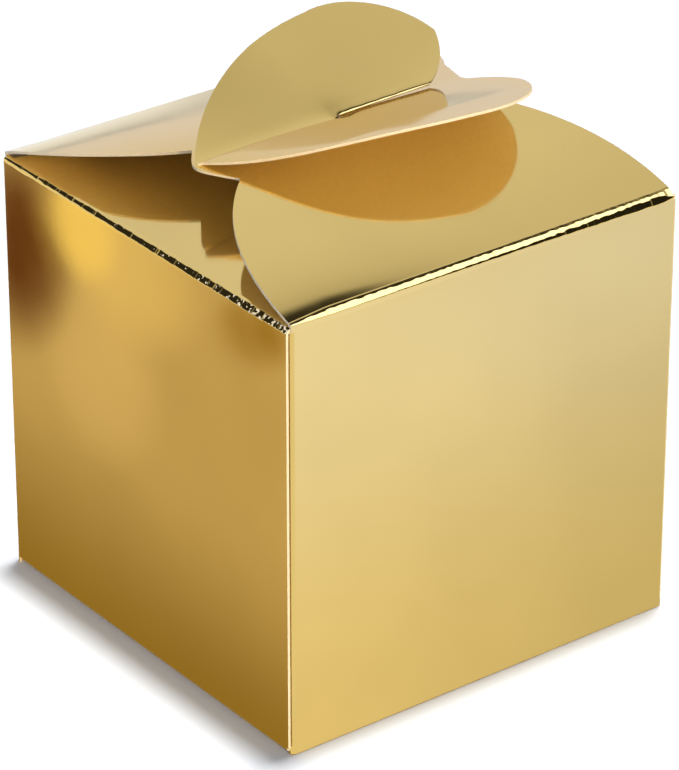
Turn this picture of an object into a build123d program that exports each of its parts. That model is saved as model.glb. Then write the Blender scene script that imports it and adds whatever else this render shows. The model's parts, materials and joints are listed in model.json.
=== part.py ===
"""Favor box folded from gold foil board, with two lid flaps that hook together as a heart.

Origin at the middle of the base, +Z up. The front wall is at -Y. The heart's axis runs along X over the
middle of the box, with its tip at -X and its lobes at +X.
"""
import os
from math import cos, radians, sin, tan

from build123d import *

# Driving dimensions, in millimetres and degrees
box_width = 70.0           # outside, the same along X and Y
wall_height = 69.0         # table to the top of the lid folds
board = 0.4                # thickness of the foil board
fold_radius = 0.4          # outside radius of the folds that the flaps turn on
corner_radius = 0.6        # outside radius of the upright corners
glue_film = 0.1            # adhesive in the side seam
lid_slope = 14.0           # rise of the lid flaps, above level
front_half_slope = 20.0    # rise of the front half heart, which leans to the rear
rear_half_slope = 14.0     # rise of the rear half heart, which leans to the front
dust_slope = 4.0           # rise of the dust flaps under the lid
tuck_lean = 7.0            # lean of the tuck flap, away from the front wall

# Room between pieces that turn past each other
fold_gap = 0.06            # between a fold and the edge of the flap that turns on it
clearance = 0.3            # between layers of board that lie on each other
bottom_gap = 0.1           # between the bottom panel and the dust flaps above it
slit_room = 1.5            # from the heart's axis to each free edge of a slit
slit_end_room = 0.15       # past the middle, at the inner end of each slit

# Outline of a lid flap and its half heart, as shares of the box's width
lid_hinge_half = 0.49 * box_width
lid_bulge = (0.460 * box_width, 0.205 * box_width)
lid_neck = (0.308 * box_width, 0.424 * box_width)
lid_waist = (0.372 * box_width, 0.385 * box_width)
heart_tip = 0.367 * box_width
heart_notch = 0.326 * box_width
heart_flank = (-0.173 * box_width, 0.184 * box_width)
heart_crown = (0.130 * box_width, 0.301 * box_width)
lobe_shoulder = (0.310 * box_width, 0.254 * box_width)
lobe_end = (0.364 * box_width, 0.148 * box_width)

# Inside of the lobe, from the heart's axis: closed on the rear half, flared into the slit on the front half
notch_inside = [
    (heart_notch, 0),
    (0.318 * box_width, 0.022 * box_width),
    (0.352 * box_width, 0.072 * box_width),
]
flare_inside = [
    (0.240 * box_width, 0),
    (0.245 * box_width, 0.006 * box_width),
    (0.310 * box_width, 0.058 * box_width),
]

# Dust flaps of the top and of the bottom, glue flap and tuck flap
dust_depth = 29.0
dust_inset = 1.2           # from the corner of the box to the end of the flap's fold
dust_taper = 35.0
dust_rounding = 4.0
low_dust_depth = 28.0
low_dust_front_inset = 2.6
low_dust_front_taper = 27.0
low_dust_rear_inset = 1.6
low_dust_rear_taper = 12.0
glue_flap_width = 11.0
glue_flap_taper = 18.0
glue_flap_end = 5.5        # from the base, and from the top, at the seam
glue_margin = 1.5          # from the flap's edges to the adhesive
tuck_height = 14.0
tuck_inset = 1.6
tuck_taper = 16.0
tuck_rounding = 5.0

# Places worked out from the dimensions above
half_width = box_width / 2
fold_line = half_width - fold_radius
inner_face = half_width - board
corner_centre = half_width - corner_radius
flap_edge = fold_radius + fold_gap
lid_fold_z = wall_height - fold_radius
dust_fold_z = lid_fold_z - 2 * clearance
low_dust_fold_z = board + bottom_gap + fold_radius
bottom_fold_z = fold_radius
tuck_fold_y = -inner_face + clearance + fold_radius
seam_face = -inner_face + glue_film
seam_centre = seam_face + corner_radius
axis_reach = fold_line / cos(radians(lid_slope))
axis_z = lid_fold_z + fold_line * tan(radians(lid_slope)) + board / 2 / cos(radians(lid_slope))
fold_end_room = 0.1        # between the end of a fold and the corner beside it


def fold_plane(fold_point, reach, slope, foil_side):
    """Mid-plane of a panel that turns on a fold.

    Local y runs from the fold along the panel, and local z out of its foil side, so that the foil
    is level with the outside of the fold. foil_side is 1 where the foil faces up and -1 where it faces down.
    """
    up = Vector(0, 0, 1)
    along = reach * cos(radians(slope)) + up * sin(radians(slope))
    outward = (up * cos(radians(slope)) - reach * sin(radians(slope))) * foil_side
    origin = Vector(*fold_point) + outward * (fold_radius - board / 2)
    return Plane(origin, x_dir=along.cross(outward), z_dir=outward)


def sheet(outline, plane):
    """One thickness of board, half on each side of its mid-plane."""
    return extrude(plane * outline, amount=board / 2, both=True)


def fold_along_x(low, high, y, z):
    """Scored fold, a round bead along X."""
    return Pos((low + high) / 2, y, z) * Rot(0, 90, 0) * Cylinder(fold_radius, high - low)


def fold_along_y(x, z):
    """Scored fold along Y, between the upright corners."""
    length = 2 * (corner_centre - fold_end_room)
    return Pos(x, 0, z) * Rot(90, 0, 0) * Cylinder(fold_radius, length)


def block(low, high):
    """Box between two corners."""
    size = [b - a for a, b in zip(low, high)]
    middle = [(a + b) / 2 for a, b in zip(low, high)]
    return Pos(*middle) * Box(*size)


def corner_fold(x, y, side_x, side_y):
    """Upright corner: a quarter of a tube about (x, y), towards (side_x, side_y)."""
    ring = Circle(corner_radius) - Circle(corner_radius - board)
    quarter = Pos(side_x * corner_radius / 2, side_y * corner_radius / 2) * Rectangle(corner_radius, corner_radius)
    height = dust_fold_z - low_dust_fold_z
    return Pos(x, y, low_dust_fold_z) * extrude(ring & quarter, amount=height)


def slit(past):
    """Strip about the heart's axis that a slit takes out of a sheet, on its local +x side."""
    length = heart_tip + board + slit_end_room
    return Pos(length / 2 - slit_end_room, past) * Rectangle(length, 2 * slit_room)


def lid_flap(plane, tip_side):
    """Lid flap from its fold to the heart's axis. tip_side is the local x side of the heart's tip."""
    def at(u, v):
        return (tip_side * u, v)

    past_axis = axis_reach + slit_room
    bulge_u, bulge_v = lid_bulge
    neck_u, neck_v = lid_neck
    waist_u, waist_v = lid_waist
    edges = [
        Line(at(-lid_hinge_half, flap_edge), at(lid_hinge_half, flap_edge)),
        ThreePointArc(at(lid_hinge_half, flap_edge), at(bulge_u, bulge_v), at(neck_u, neck_v)),
        Polyline(
            at(neck_u, neck_v),
            at(heart_tip, axis_reach),
            at(heart_tip, past_axis),
            at(-heart_notch, past_axis),
            at(-heart_notch, axis_reach),
            at(-waist_u, waist_v),
        ),
        ThreePointArc(at(-waist_u, waist_v), at(-bulge_u, bulge_v), at(-lid_hinge_half, flap_edge)),
    ]
    return sheet(make_face(edges) - slit(axis_reach), plane)


def heart_half(plane, tip_side, lobe_inside):
    """Half heart beyond the axis: a long flank from the tip, a round lobe and the lobe's inside."""
    def at(u, w):
        return (-tip_side * u, w)

    start, root, hollow = lobe_inside
    edges = [
        ThreePointArc(at(-heart_tip, 0), at(*heart_flank), at(*heart_crown)),
        ThreePointArc(at(*heart_crown), at(*lobe_shoulder), at(*lobe_end)),
        ThreePointArc(at(*lobe_end), at(*hollow), at(*root)),
        Polyline(
            at(*root),
            at(*start),
            at(start[0], -slit_room),
            at(-heart_tip, -slit_room),
            at(-heart_tip, 0),
        ),
    ]
    return sheet(make_face(edges) - slit(0), plane)


def dust_flap(plane):
    """Dust flap of the top: a tapered flap with rounded ends."""
    end = half_width - dust_inset
    narrow = end - dust_depth * tan(radians(dust_taper))
    corners = [(-end, flap_edge), (end, flap_edge), (narrow, dust_depth), (-narrow, dust_depth)]
    outline = make_face(Polyline(corners, close=True))
    outline = fillet(outline.vertices().group_by(Axis.Y)[-1], dust_rounding)
    return sheet(outline, plane)


def low_dust_flap(plane, front_side):
    """Dust flap of the bottom, cut back at the front to let the tuck flap in."""
    front = half_width - low_dust_front_inset
    rear = half_width - low_dust_rear_inset
    front_end = front - low_dust_depth * tan(radians(low_dust_front_taper))
    rear_end = rear - low_dust_depth * tan(radians(low_dust_rear_taper))
    corners = [
        (front_side * front, flap_edge),
        (front_side * front_end, low_dust_depth),
        (-front_side * rear_end, low_dust_depth),
        (-front_side * rear, flap_edge),
    ]
    outline = make_face(Polyline(corners, close=True))
    outline = fillet(outline.vertices().group_by(Axis.Y)[-1], dust_rounding)
    return sheet(outline, plane)


def tuck_flap_sheet(plane):
    """Tuck flap: a short tapered flap with round corners."""
    end = half_width - tuck_inset
    narrow = end - tuck_height * tan(radians(tuck_taper))
    corners = [(-end, flap_edge), (end, flap_edge), (narrow, tuck_height), (-narrow, tuck_height)]
    outline = make_face(Polyline(corners, close=True))
    outline = fillet(outline.vertices().group_by(Axis.Y)[-1], tuck_rounding)
    return sheet(outline, plane)


def glue_strip(inset, thickness, face_x):
    """Upright tapered strip inside the left wall, inset from the glue flap's outline, face at face_x."""
    near = -corner_centre + inset
    far = -corner_centre + glue_flap_width - inset
    taper = glue_flap_width * tan(radians(glue_flap_taper))
    low = glue_flap_end + inset
    high = wall_height - glue_flap_end - inset
    corners = [(near, low), (far, low + taper), (far, high - taper), (near, high)]
    return extrude(Plane.YZ.offset(face_x) * make_face(Polyline(corners, close=True)), amount=thickness)


# Scored folds
front_lid_fold = fold_along_x(seam_centre + fold_end_room, corner_centre - fold_end_room, -fold_line, lid_fold_z)
rear_lid_fold = fold_along_x(-corner_centre + fold_end_room, corner_centre - fold_end_room, fold_line, lid_fold_z)
bottom_fold = fold_along_x(-corner_centre + fold_end_room, corner_centre - fold_end_room, fold_line, bottom_fold_z)
tuck_fold = fold_along_x(-half_width + tuck_inset, half_width - tuck_inset, tuck_fold_y, bottom_fold_z)
left_dust_fold = fold_along_y(-fold_line, dust_fold_z)
right_dust_fold = fold_along_y(fold_line, dust_fold_z)
bottom_left_dust_fold = fold_along_y(-fold_line, low_dust_fold_z)
bottom_right_dust_fold = fold_along_y(fold_line, low_dust_fold_z)

# Walls, each hollowed where a fold lies on its edge
front_wall = block((seam_centre, -half_width, 0), (corner_centre, -inner_face, lid_fold_z)) - front_lid_fold
rear_wall = block((-corner_centre, inner_face, bottom_fold_z), (corner_centre, half_width, lid_fold_z))
rear_wall = rear_wall - rear_lid_fold - bottom_fold
left_wall_edge = -half_width + clearance
left_wall = block((-half_width, left_wall_edge, low_dust_fold_z), (-inner_face, corner_centre, dust_fold_z))
left_wall = left_wall - left_dust_fold - bottom_left_dust_fold
right_wall = block((inner_face, -corner_centre, low_dust_fold_z), (half_width, corner_centre, dust_fold_z))
right_wall = right_wall - right_dust_fold - bottom_right_dust_fold

# Planes of the panels that turn
from_left, from_right = Vector(1, 0, 0), Vector(-1, 0, 0)
from_front, from_rear = Vector(0, 1, 0), Vector(0, -1, 0)
front_lid_plane = fold_plane((0, -fold_line, lid_fold_z), from_front, lid_slope, 1)
rear_lid_plane = fold_plane((0, fold_line, lid_fold_z), from_rear, lid_slope, 1)
left_dust_plane = fold_plane((-fold_line, 0, dust_fold_z), from_left, dust_slope, 1)
right_dust_plane = fold_plane((fold_line, 0, dust_fold_z), from_right, dust_slope, 1)
low_left_plane = fold_plane((-fold_line, 0, low_dust_fold_z), from_left, 0, -1)
low_right_plane = fold_plane((fold_line, 0, low_dust_fold_z), from_right, 0, -1)
tuck_plane = fold_plane((0, tuck_fold_y, bottom_fold_z), from_front, 90 - tuck_lean, 1)
front_half_plane = Plane(
    (0, 0, axis_z),
    x_dir=(1, 0, 0),
    z_dir=(0, -sin(radians(front_half_slope)), cos(radians(front_half_slope))),
)
rear_half_plane = Plane(
    (0, 0, axis_z),
    x_dir=(-1, 0, 0),
    z_dir=(0, sin(radians(rear_half_slope)), cos(radians(rear_half_slope))),
)

# Lid sheets, each cut at the heart's axis into its flap and its half heart
front_lid_flap = split(lid_flap(front_lid_plane, -1), bisect_by=Plane.XZ, keep=Keep.TOP)
front_heart_half = split(heart_half(front_half_plane, -1, flare_inside), bisect_by=Plane.XZ, keep=Keep.BOTTOM)
rear_lid_flap = split(lid_flap(rear_lid_plane, 1), bisect_by=Plane.XZ, keep=Keep.BOTTOM)
rear_heart_half = split(heart_half(rear_half_plane, 1, notch_inside), bisect_by=Plane.XZ, keep=Keep.TOP)

bottom_side = half_width - board - clearance
bottom_panel = block(
    (-bottom_side, tuck_fold_y, 0),
    (bottom_side, fold_line - flap_edge, board),
) - tuck_fold

nodes = {
    "front_wall": front_wall,
    "rear_wall": rear_wall,
    "left_wall": left_wall,
    "right_wall": right_wall,
    "seam_fold": corner_fold(seam_centre, -corner_centre, -1, -1),
    "front_right_fold": corner_fold(corner_centre, -corner_centre, 1, -1),
    "rear_right_fold": corner_fold(corner_centre, corner_centre, 1, 1),
    "rear_left_fold": corner_fold(-corner_centre, corner_centre, -1, 1),
    "glue_flap": glue_strip(0, board, seam_face),
    "seam_glue": glue_strip(glue_margin, glue_film, -inner_face),
    "front_lid_fold": front_lid_fold,
    "rear_lid_fold": rear_lid_fold,
    "left_dust_fold": left_dust_fold,
    "right_dust_fold": right_dust_fold,
    "front_lid_flap": front_lid_flap,
    "front_heart_half": front_heart_half,
    "rear_lid_flap": rear_lid_flap,
    "rear_heart_half": rear_heart_half,
    "left_dust_flap": dust_flap(left_dust_plane),
    "right_dust_flap": dust_flap(right_dust_plane),
    "bottom_fold": bottom_fold,
    "bottom_panel": bottom_panel,
    "tuck_fold": tuck_fold,
    "tuck_flap": tuck_flap_sheet(tuck_plane),
    "bottom_left_dust_fold": bottom_left_dust_fold,
    "bottom_right_dust_fold": bottom_right_dust_fold,
    "bottom_left_dust_flap": low_dust_flap(low_left_plane, -1),
    "bottom_right_dust_flap": low_dust_flap(low_right_plane, 1),
}

os.makedirs("parts", exist_ok=True)
for name, solid in nodes.items():
    export_step(solid, f"parts/{name}.step")
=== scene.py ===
"""Looks of a favor box folded from gold foil board, whose two lid flaps hook together as a heart.

Every panel is a sheet: its foil face is a surface of two parameters, and the board's thickness goes inwards,
with pale board inside and a pale cut edge. Lengths are in metres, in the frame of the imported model: the
front wall is at -Y, and the heart's axis runs along X with its tip at -X.
"""
import json
from collections import namedtuple
from math import acos, cos, pi, radians, sin, tan

import bmesh
import bpy
import numpy as np
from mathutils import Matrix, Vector


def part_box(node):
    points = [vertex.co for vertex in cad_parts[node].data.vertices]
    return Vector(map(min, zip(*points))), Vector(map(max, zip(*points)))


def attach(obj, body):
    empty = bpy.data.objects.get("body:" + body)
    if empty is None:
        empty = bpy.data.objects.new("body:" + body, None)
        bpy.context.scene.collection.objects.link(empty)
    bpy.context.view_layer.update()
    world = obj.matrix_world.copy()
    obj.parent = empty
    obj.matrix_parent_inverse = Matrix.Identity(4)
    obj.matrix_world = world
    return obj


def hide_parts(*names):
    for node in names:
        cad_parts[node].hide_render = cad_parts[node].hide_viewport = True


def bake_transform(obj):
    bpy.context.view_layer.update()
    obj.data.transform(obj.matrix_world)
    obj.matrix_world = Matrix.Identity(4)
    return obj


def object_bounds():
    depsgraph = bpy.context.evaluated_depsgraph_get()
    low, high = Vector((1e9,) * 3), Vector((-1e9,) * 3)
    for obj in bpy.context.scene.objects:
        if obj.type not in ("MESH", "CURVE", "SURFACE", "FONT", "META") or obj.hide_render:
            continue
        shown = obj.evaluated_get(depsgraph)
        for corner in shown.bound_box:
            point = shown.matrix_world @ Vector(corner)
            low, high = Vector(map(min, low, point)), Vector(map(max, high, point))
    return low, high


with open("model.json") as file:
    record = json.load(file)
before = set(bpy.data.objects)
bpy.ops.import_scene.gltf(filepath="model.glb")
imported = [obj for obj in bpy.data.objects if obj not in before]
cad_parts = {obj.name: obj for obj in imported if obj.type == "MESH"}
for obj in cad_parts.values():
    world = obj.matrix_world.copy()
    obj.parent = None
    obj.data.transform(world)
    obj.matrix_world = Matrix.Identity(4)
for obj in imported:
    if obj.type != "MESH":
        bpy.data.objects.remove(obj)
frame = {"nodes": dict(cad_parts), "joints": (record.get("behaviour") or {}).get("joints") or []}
cad_low, cad_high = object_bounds()

bl_info = {
    "name": "Foil favor box",
    "version": (1, 0, 0),
    "blender": (4, 5, 0),
    "location": "View3D > Sidebar > Favor box",
    "description": "Makes the foil board pieces of a favor box with a heart lock",
    "category": "Object",
}

# Places read from the frame
hinges = {joint["name"]: np.array(joint["pos_m"]) for joint in frame["joints"]}
box_width = cad_high.x - cad_low.x
half_width = box_width / 2
bottom_low, bottom_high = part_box("bottom_panel")
lid_fold_low, lid_fold_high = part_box("front_lid_fold")
bead_radius = (lid_fold_high.z - lid_fold_low.z) / 2

# Outline of a lid flap and its half heart, as shares of the box's width
lid_hinge_half = 0.49 * box_width
tip_side = ((0.49, 0.006), (0.460, 0.205), (0.308, 0.424))
lobe_side = ((0.49, 0.006), (0.460, 0.205), (0.372, 0.385))
heart_tip = -0.361 * box_width
heart_notch = 0.319 * box_width
heart_flank = ((-0.361, 0.0), (-0.175, 0.188), (0.127, 0.302))
heart_lobe = ((0.127, 0.302), (0.304, 0.256), (0.364, 0.148))
notch_inside = ((0.319, 0.022), (0.351, 0.072), (0.364, 0.148))
flare_start = 0.240 * box_width
flare_inside = ((0.245, 0.006), (0.310, 0.058), (0.364, 0.148))

# Camera, from the box's edges in the photograph
camera_azimuth = -37.25
camera_elevation = 28.07
camera_distance = 0.6725
camera_target = (0.00052, 0.0, 0.03375)
camera_lens = 211.7

# Lid sheets
lid_reach = 0.86 * box_width     # length of the sheet's profile, past the half heart's far side
curl_end = 0.1 * box_width       # X at which the curl beside a lid fold has faded
crown_reach = 0.2 * box_width    # from the heart's axis to where the crown is full
lip_start = 0.002                # length in which the lip of a slit sets in
lip_waver = 0.2                  # share by which the lip's depth wanders
lip_pitch = 0.0012               # pitch of that wandering
lip_seed = 7
droop_share = 0.8                # depth of the wide droop beside the lip, in depths of the lip
droop_widths = 4                 # width of the droop, in widths of the lip
row_crowding = 1.7               # how much a half heart's rows crowd towards the axis
blunt_power = 6                  # how blunt the flap's side is where it runs into the heart's tip

# Points of the lid's grids: on the axis up to a slit's end and past it, up inside the lobe, along the flank,
# round the lobe and along a side of the flap, and rows of the half heart, the flap and its neck
joined_points = 40
slit_points = 60
inside_points = 24
flank_points = 80
lobe_points = 60
side_points = 200
heart_rows = 40
flap_rows = 40
neck_rows = 14

# Folds: the facets' angles from the wall in degrees, the stations along a fold where their widths are given,
# the pitches of what wanders along it, and how much of it has ridges
lid_facet_angles = (33, 54, 66)
dust_facet_angles = (10, 45, 78)
plain_facet_angles = (30, 60)
fold_stations = (0.0, 0.1, 0.6, 0.97, 1.0)
waver_pitch = 0.0006
ridge_pitch = 0.00026
ridge_drift_pitch = 0.004
ridge_patch_pitch = 0.0025
ridge_cover = 0.4

# Meshes: points closer than this are welded, and sharper edges aren't smoothed
weld_distance = 1e-6
sharp_angle = radians(50)

# Flakes in the left dust fold: most at the front and fewest at the rear, at the peaks of a noise that rises
# towards the front, within a reach of the box's left side
flakes_front = -0.045
flakes_rear = 0.022
flake_gain = 0.16
flake_peaks = (0.69, 0.72)
flake_reach = (0.0022, 0.0018)

# Light of the studio on matt surfaces, what the floor adds of its own to the camera and in reflections, and
# the floor's reach each way and its drop under the box
even_light = (0.06, 0.105, 0.205)
floor_glow = 0.10
floor_reach = 4.0
floor_drop = 0.00005

# Lamps: place, width, power and colour
lamps = {
    "overhead_softbox": ((0.26, 0.08, 4.50), 0.40, 201.0, (1.0, 1.0, 1.0)),
    "front_softbox": ((-0.15, -1.25, 0.11), 0.18, 13.0, (1.0, 0.80, 0.48)),
}

# What the foil mirrors of the studio: a base, and sides over it, each a direction, the angles from it, in
# degrees, at which it starts and ends to fade, and its colour
studio_base = (0.50, 0.50, 0.50)
studio_sides = (
    ((0.0, -0.88, 0.45), 28, 55, (1.80, 1.80, 1.80)),
    ((-0.70, 0.30, 0.60), 40, 62, (0.75, 0.75, 0.75)),
    ((0.53, 0.70, 0.45), 22, 40, (0.86, 0.89, 1.02)),
    ((0.533, 0.842, 0.05), 8, 24, (0.88, 0.86, 0.96)),
    ((0.53, -0.714, 0.448), 10, 22, (0.02, 0.02, 0.02)),
    ((-0.47, 0.70, 0.53), 10, 22, (0.03, 0.03, 0.03)),
    ((0.533, -0.20, 0.82), 6, 16, (2.2, 2.4, 3.6)),
    ((0.533, 0.13, 0.836), 2, 7, (0.03, 0.03, 0.03)),
)

# Glowing cards on the floor, each a painted reflection that only the foil mirrors, painted by where the
# camera sees it in its wall: for each metre that a line of sight drops, it goes so far along X and along Y
sight_x = 1.141
sight_y = 1.511
card_lift = 0.0001
card_tuck = 0.0345               # from the middle of the box to a card's edge, just inside its wall
front_reflection_card = ((-0.25, -0.40), (0.30, -card_tuck))
left_reflection_card = ((-0.30, -card_tuck), (-card_tuck, 0.40))

# Painted reflection in the walls, outside of which the cards fade to white: its span across each wall, and
# its top
paint_fade = 0.009
paint_top = 0.072
front_span = (-0.040, 0.050)
left_span = (-0.040, 0.054)
white = (1, 1, 1)

# Front wall's painted reflection: left and right colours at its foot, with painted shade of the floor at the
# right, and brighter colours at its top for a painted highlight, and where they have blended
front_foot = ((1.0, 0.96, 0.90), (0.76, 0.75, 0.72))
front_top = ((1.08, 1.17, 1.66), (0.95, 1.06, 1.68))
front_blend_right = 0.046
front_blend_top = 0.069

# Left wall's painted reflection: a painted shadow of the floor at its foot, the colour of the rest, the
# heights between which they blend, and soft spots of painted shade and painted highlight over them, each
# with its centre and radii, to the rear and up, and its colour
left_foot_shadow = (0.36, 0.25, 0.06)
left_rest = (0.70, 0.57, 0.38)
left_blend = (-0.004, 0.034)
left_shade_and_highlight_spots = (
    ((0.018, 0.042), (0.022, 0.020), (0.84, 0.70, 0.50)),
    ((0.014, 0.064), (0.028, 0.018), (0.95, 0.80, 0.52)),
    ((-0.025, 0.066), (0.012, 0.008), (0.42, 0.27, 0.05)),
    ((0.047, 0.054), (0.021, 0.024), (0.15, 0.05, 0.01)),
    ((0.027, 0.066), (0.014, 0.013), (1.25, 1.06, 0.50)),
)

Fold = namedtuple("Fold", "point axis ends wall_normal flap_normal facets")
Facet = namedtuple("Facet", "angle widths")
Side = namedtuple("Side", "inset taper")
LidShape = namedtuple("LidShape", "half_slope bow offset crown slit_sign inside_start inside")


# Surfaces

def unit(vector):
    """The vector at length one."""
    return np.asarray(vector, float) / np.linalg.norm(vector)


def arc_through(start, middle, end, count):
    """Even points along the circle through three points: its centre plus a radius, turned by steps."""
    a, b, c = (complex(*point) for point in (start, middle, end))
    skew = (c - a) / (b - a)
    centre = a + (b - a) * (skew - abs(skew) ** 2) / (2j * skew.imag)
    turn = np.angle((c - centre) / (a - centre))
    if turn * np.angle((b - centre) / (a - centre)) < 0:
        turn -= np.sign(turn) * 2 * pi
    points = centre + (a - centre) * np.exp(1j * turn * np.linspace(0, 1, count))
    return np.column_stack([points.real, points.imag])


def along(points, shares):
    """Points of a polyline at shares of its length."""
    steps = np.linalg.norm(np.diff(points, axis=0), axis=1)
    reached = np.concatenate([[0], np.cumsum(steps)])
    reached = reached / reached[-1]
    return np.column_stack([np.interp(shares, reached, points[:, k]) for k in range(points.shape[1])])


def smooth_step(values):
    """Zero below 0, one above 1, and 3t^2 - 2t^3 between."""
    t = np.clip(values, 0, 1)
    return t * t * (3 - 2 * t)


def ragged(values, pitch, seed):
    """Broken line from -1 to 1: random heights at knots about a pitch apart, joined straight."""
    rng = np.random.default_rng(seed)
    low, high = values.min(), values.max()
    count = int((high - low) / pitch) + 2
    knots = low + (np.arange(count) + rng.uniform(-0.4, 0.4, count)) * pitch
    return np.interp(values, knots, rng.uniform(-1, 1, count))


def fold_frame(fold):
    """Where the faces of wall and flap would meet, the fold's turn, and the ways out of and up the wall.

    Both faces touch the bead of the frame.
    """
    out = unit(fold.wall_normal)
    leaf = unit(fold.flap_normal)
    inward = (out + leaf) / (1 + out @ leaf)
    turn = acos(out @ leaf)
    up = unit(leaf - (out @ leaf) * out)
    return np.asarray(fold.point) + bead_radius * inward, turn, out, up


def facet_reach(fold, turn, widths):
    """How far a row of facets reaches from where the faces would meet, down the wall and along the flap."""
    across = sum(width * sin(facet.angle) for facet, width in zip(fold.facets, widths))
    upwards = sum(width * cos(facet.angle) for facet, width in zip(fold.facets, widths))
    on_flap = across / sin(turn)
    return upwards - on_flap * cos(turn), on_flap


def facet_widths(fold, s):
    """Widths of a fold's facets at places along it."""
    travel = (s - fold.ends[0]) / (fold.ends[1] - fold.ends[0])
    return [np.interp(travel, fold_stations, facet.widths) for facet in fold.facets]


def flap_margin(fold, s, flank):
    """How far a fold's strip reaches along the flap at places along it: past its facets by the flank."""
    turn = fold_frame(fold)[1]
    return facet_reach(fold, turn, facet_widths(fold, s))[1] + flank


def fold_margins(fold, turn, flank):
    """How far the fold's strip reaches down the wall and along the flap where its facets are widest."""
    on_wall, on_flap = facet_reach(fold, turn, [np.array(facet.widths) for facet in fold.facets])
    return on_wall.max() + flank, on_flap.max() + flank


def wall_edge(fold, flank):
    """Point where the wall ends and the fold's strip begins."""
    meet, turn, _, up = fold_frame(fold)
    return meet - fold_margins(fold, turn, flank)[0] * up


def flap_edge(fold, flank):
    """Point where the fold's strip ends and the flap begins, and the flap's direction there."""
    meet, turn, out, up = fold_frame(fold)
    direction = cos(turn) * up - sin(turn) * out
    return meet + fold_margins(fold, turn, flank)[1] * direction, direction


def fold_surface(fold, flank, crackle, waver, seed, rows=420, columns=72):
    """Strip of a fold: the wall's face turns into one facet after another, and then into the flap's face.

    Each row adds up short steps along the turning direction. The facets' widths change along the fold, with
    ragged bounds between them, and fine ridges along the second facet, sine waves across it, come and go.
    Also gives each point's share of the second facet.
    """
    meet, turn, out, up = fold_frame(fold)
    s = np.linspace(fold.ends[0], fold.ends[1], rows)[:, None]
    low_margin = fold_margins(fold, turn, flank)[0]
    high_margin = flap_margin(fold, s, flank)
    widths = facet_widths(fold, s)
    for k in range(len(widths) - 1):
        shift = waver * np.minimum(widths[k], widths[k + 1]) * ragged(s, waver_pitch, seed + 10 * k)
        widths[k] = widths[k] + shift
        widths[k + 1] = widths[k + 1] - shift
    on_wall, on_flap = facet_reach(fold, turn, widths)
    bounds = np.cumsum([low_margin - on_wall] + widths, axis=0)
    total = bounds[-1] + high_margin - on_flap
    q = np.linspace(0, 1, columns) * total
    ease = flank / 4
    angles = [0.0] + [facet.angle for facet in fold.facets] + [turn]
    angle = sum(
        (after - before) * smooth_step((q - bound + ease) / (2 * ease))
        for before, after, bound in zip(angles[:-1], angles[1:], bounds)
    )
    middle = (angle[:, 1:] + angle[:, :-1]) / 2
    step = np.diff(q, axis=1)
    outwards = np.concatenate([0 * s, np.cumsum(-np.sin(middle) * step, axis=1)], axis=1)
    upwards = np.concatenate([0 * s, np.cumsum(np.cos(middle) * step, axis=1)], axis=1)
    share = q / total
    outwards = outwards + share * (-high_margin * sin(turn) - outwards[:, -1:])
    upwards = upwards + share * (high_margin * cos(turn) + low_margin - upwards[:, -1:])
    crease = smooth_step((q - bounds[1]) / ease) * smooth_step((bounds[2] - q) / ease)
    ridges = np.sin(2 * pi * (q / ridge_pitch + ragged(s, ridge_drift_pitch, seed + 3)))
    stand = crackle * ridges * crease * smooth_step(ragged(s, ridge_patch_pitch, seed + 5) + ridge_cover)
    outwards = outwards + stand * np.cos(angle)
    upwards = upwards + stand * np.sin(angle) - low_margin
    points = meet + s[..., None] * np.asarray(fold.axis)
    points = points + outwards[..., None] * out + upwards[..., None] * up
    return points, crease


def wall_surface(corner, across, upwards, bow, outward, steps=36):
    """Wall: a flat rectangle that swells by a half sine each way."""
    s, t = np.meshgrid(np.linspace(0, 1, steps), np.linspace(0, 1, steps))
    swell = bow * np.sin(pi * s) * np.sin(pi * t)
    flat = np.asarray(corner) + s[..., None] * np.asarray(across) + t[..., None] * np.asarray(upwards)
    return flat + swell[..., None] * np.asarray(outward)


def bottom_surface(half_across, front, rear, relief, columns=40):
    """Flat bottom: rows from front to rear, each between the same two sides.

    The sides draw in by the relief beside the rear fold, so that its corners pass the upright folds.
    """
    start = rear - 3 * relief
    y = np.concatenate([np.linspace(front, start, 30), np.linspace(start, rear, 12)[1:]])
    reach = half_across - relief * smooth_step((y - start) / (2 * relief))
    x = np.linspace(-1, 1, columns) * reach[:, None]
    return np.stack([x, np.broadcast_to(y[:, None], x.shape), np.full_like(x, bottom_low.z)], axis=-1)


def side_of_flap(reach, side, depth, rounding, v):
    """Half width of a tapered flap at v from its fold: a straight taper, then the rounded end corner."""
    slant = side.taper
    line = reach - side.inset - v * tan(slant)
    corner = reach - side.inset - depth * tan(slant)
    centre_u = corner - rounding * tan((pi / 2 - slant) / 2)
    centre_v = depth - rounding
    round_part = centre_u + np.sqrt(np.maximum(rounding ** 2 - (v - centre_v) ** 2, 0))
    return np.where(v > centre_v + rounding * sin(slant), round_part, line)


def flap_surface(fold, flank, reach, sides, depth, rounding, columns=40, rows=40):
    """Tapered flap: rows at v from the fold, each running from one side of the outline to the other."""
    start, direction = flap_edge(fold, flank)
    first = (start - np.asarray(fold.point)) @ direction
    v = first + (depth - first) * np.sin(np.linspace(0, pi / 2, rows))
    low = -side_of_flap(reach, sides[0], depth, rounding, v)
    high = side_of_flap(reach, sides[1], depth, rounding, v)
    share = np.linspace(0, 1, columns)
    u = low[:, None] + share * (high - low)[:, None]
    patch = start + (v - first)[:, None, None] * direction + u[..., None] * np.asarray(fold.axis)
    margin = flap_margin(fold, u[0], flank)
    patch[0] += (margin - margin.max())[:, None] * direction
    return patch


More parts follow.
